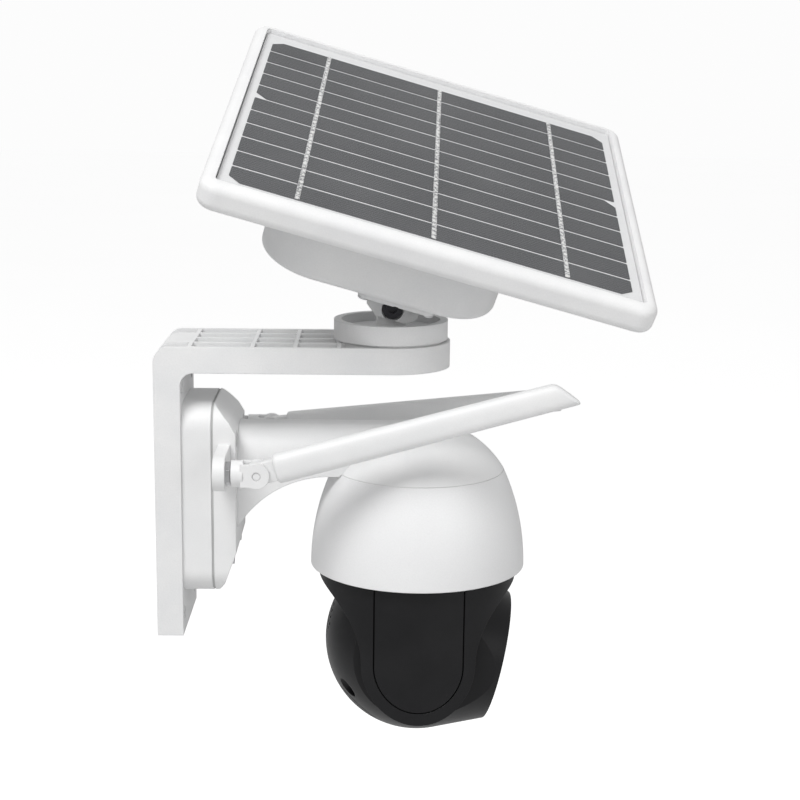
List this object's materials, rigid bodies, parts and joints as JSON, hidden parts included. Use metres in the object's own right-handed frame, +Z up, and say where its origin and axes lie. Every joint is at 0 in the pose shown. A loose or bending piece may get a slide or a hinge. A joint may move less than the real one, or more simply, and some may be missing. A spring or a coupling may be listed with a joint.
{
  "type": "solar security camera",
  "caption": "Pan and tilt dome camera on an L-shaped wall bracket, with a swivelling, tilting solar panel and battery box on top and folding antennas beside the neck.",
  "frame": {"origin": "middle of the four wall screw holes, on the back face of the wall plate", "axes": "+X points away from the wall, +Z is up and +Y is the side towards which the panel overhangs"},
  "size_m": [0.1911, 0.1809, 0.2775],
  "materials": {
    "bracket_plastic": "fine-grained white moulding",
    "housing_plastic": "satin white moulding",
    "dome_plastic": "smooth satin white",
    "box_plastic": "fine-grained white moulding",
    "black_plastic": "matt black moulding",
    "grey_rubber": "light grey, matt",
    "sealing_rubber": "matt",
    "screw_steel": "zinc plated",
    "drive_metal": "plain",
    "gear_plastic": "natural acetal",
    "board_green": "solder mask",
    "chip_black": "moulded",
    "cell_wrap": "shrink wrap",
    "panel_backing": "white laminate",
    "cell_silicon": "dark grey cell",
    "busbar_metal": "tinned ribbon",
    "clear_cover": "clear textured sheet",
    "dark_window": "smoked clear",
    "lens_glass": "coated",
    "lamp_clear": "clear lamp",
    "button_white": "moulded"
  },
  "bodies": {
    "wall_mount": {"l_bracket": "bracket_plastic", "camera_base": "housing_plastic", "base_cover": "housing_plastic", "base_seal": "grey_rubber", "cover_screws": "screw_steel", "base_gland": "housing_plastic", "camera_arm": "housing_plastic", "dome_shell": "dome_plastic", "motor_plate": "drive_metal", "plate_screws": "screw_steel", "pan_motor": "drive_metal", "pan_bearing": "drive_metal", "main_board": "board_green", "slip_ring": "chip_black", "antenna_connectors": "screw_steel"},
    "panel_swivel": {"swivel_disc": "bracket_plastic", "swivel_bolt": "screw_steel"},
    "panel_tilt": {"tilt_saddle": "bracket_plastic", "tilt_bolt": "screw_steel", "tilt_nut": "screw_steel", "saddle_screws": "screw_steel", "battery_box": "box_plastic", "box_seal": "sealing_rubber", "battery_cells": "cell_wrap", "charge_board": "board_green", "box_screws": "screw_steel", "box_gland": "sealing_rubber", "panel_frame": "box_plastic", "panel_back": "box_plastic", "back_sheet": "panel_backing", "solar_cells": "cell_silicon", "busbars": "busbar_metal", "cover_sheet": "clear_cover"},
    "pan": {"yoke": "black_plastic", "yoke_cover_near": "black_plastic", "yoke_cover_far": "black_plastic", "pan_gear": "gear_plastic", "pan_retainer": "drive_metal", "tilt_motor": "drive_metal"},
    "pan_pinion": {"pan_pinion": "gear_plastic"},
    "head": {"head_rear_shell": "black_plastic", "head_front_shell": "black_plastic", "trunnions": "drive_metal", "tilt_gear": "gear_plastic", "shell_screws": "screw_steel", "front_window": "dark_window", "lens_barrel": "chip_black", "lens_glass": "lens_glass", "led_board": "board_green", "lamp_leds": "lamp_clear", "sensor_board": "board_green", "speaker": "chip_black", "card_board": "board_green"},
    "tilt_pinion": {"tilt_pinion": "gear_plastic"},
    "card_plug": {"card_plug": "black_plastic"},
    "reset_button": {"reset_button": "button_white"},
    "antenna_near_barrel": {"antenna_near_barrel": "housing_plastic"},
    "antenna_near_blade": {"antenna_near_blade": "housing_plastic"},
    "antenna_far_barrel": {"antenna_far_barrel": "housing_plastic"},
    "antenna_far_blade": {"antenna_far_blade": "housing_plastic"}
  },
  "joints": [
    {"name": "panel_swivel", "type": "hinge", "parent": "wall_mount", "child": "panel_swivel", "pos_m": [0.089, 0, 0.065], "axis": [0, 0, 1], "range_deg": [-100, 8]},
    {"name": "panel_tilt", "type": "hinge", "parent": "panel_swivel", "child": "panel_tilt", "pos_m": [0.089, 0, 0.074], "axis": [-0.0471, 0.9989, 0], "range_deg": [-30, 8]},
    {"name": "head_pan", "type": "hinge", "parent": "wall_mount", "child": "pan", "pos_m": [0.1005, 0, -0.02], "axis": [0, 0, 1], "range_deg": [-175, 175]},
    {"name": "pan_pinion_spin", "type": "hinge", "parent": "wall_mount", "child": "pan_pinion", "pos_m": [0.0789, 0, -0.012], "axis": [0, 0, 1], "continuous": true},
    {"name": "head_tilt", "type": "hinge", "parent": "pan", "child": "head", "pos_m": [0.1005, 0, -0.06], "axis": [0, 1, 0], "range_deg": [-13, 77]},
    {"name": "tilt_pinion_spin", "type": "hinge", "parent": "pan", "child": "tilt_pinion", "pos_m": [0.1005, -0.03, -0.0424], "axis": [0, 1, 0], "continuous": true},
    {"name": "card_plug_pull", "type": "slide", "parent": "head", "child": "card_plug", "axis": [-0.6691, 0, -0.7431], "range_m": [0, 0.007]},
    {"name": "reset_press", "type": "slide", "parent": "head", "child": "reset_button", "axis": [0.6691, 0, 0.7431], "range_m": [0, 0.0004], "stiffness_N_per_m": 200},
    {"name": "near_antenna_turn", "type": "hinge", "parent": "wall_mount", "child": "antenna_near_barrel", "pos_m": [0.036, -0.0405, 0.017], "axis": [1, 0, 0], "range_deg": [-10, 90]},
    {"name": "near_antenna_fold", "type": "hinge", "parent": "antenna_near_barrel", "child": "antenna_near_blade", "pos_m": [0.04, -0.0405, 0.017], "axis": [0, -1, 0], "range_deg": [-15.3, 7]},
    {"name": "far_antenna_turn", "type": "hinge", "parent": "wall_mount", "child": "antenna_far_barrel", "pos_m": [0.036, 0.0405, 0.017], "axis": [-1, 0, 0], "range_deg": [-10, 90]},
    {"name": "far_antenna_fold", "type": "hinge", "parent": "antenna_far_barrel", "child": "antenna_far_blade", "pos_m": [0.04, 0.0405, 0.017], "axis": [0, -1, 0], "range_deg": [-6, 16]}
  ],
  "couplings": [
    {"joint": "pan_pinion_spin", "follows": "head_pan", "ratio": -2.8571},
    {"joint": "tilt_pinion_spin", "follows": "head_tilt", "ratio": -2.6667}
  ]
}
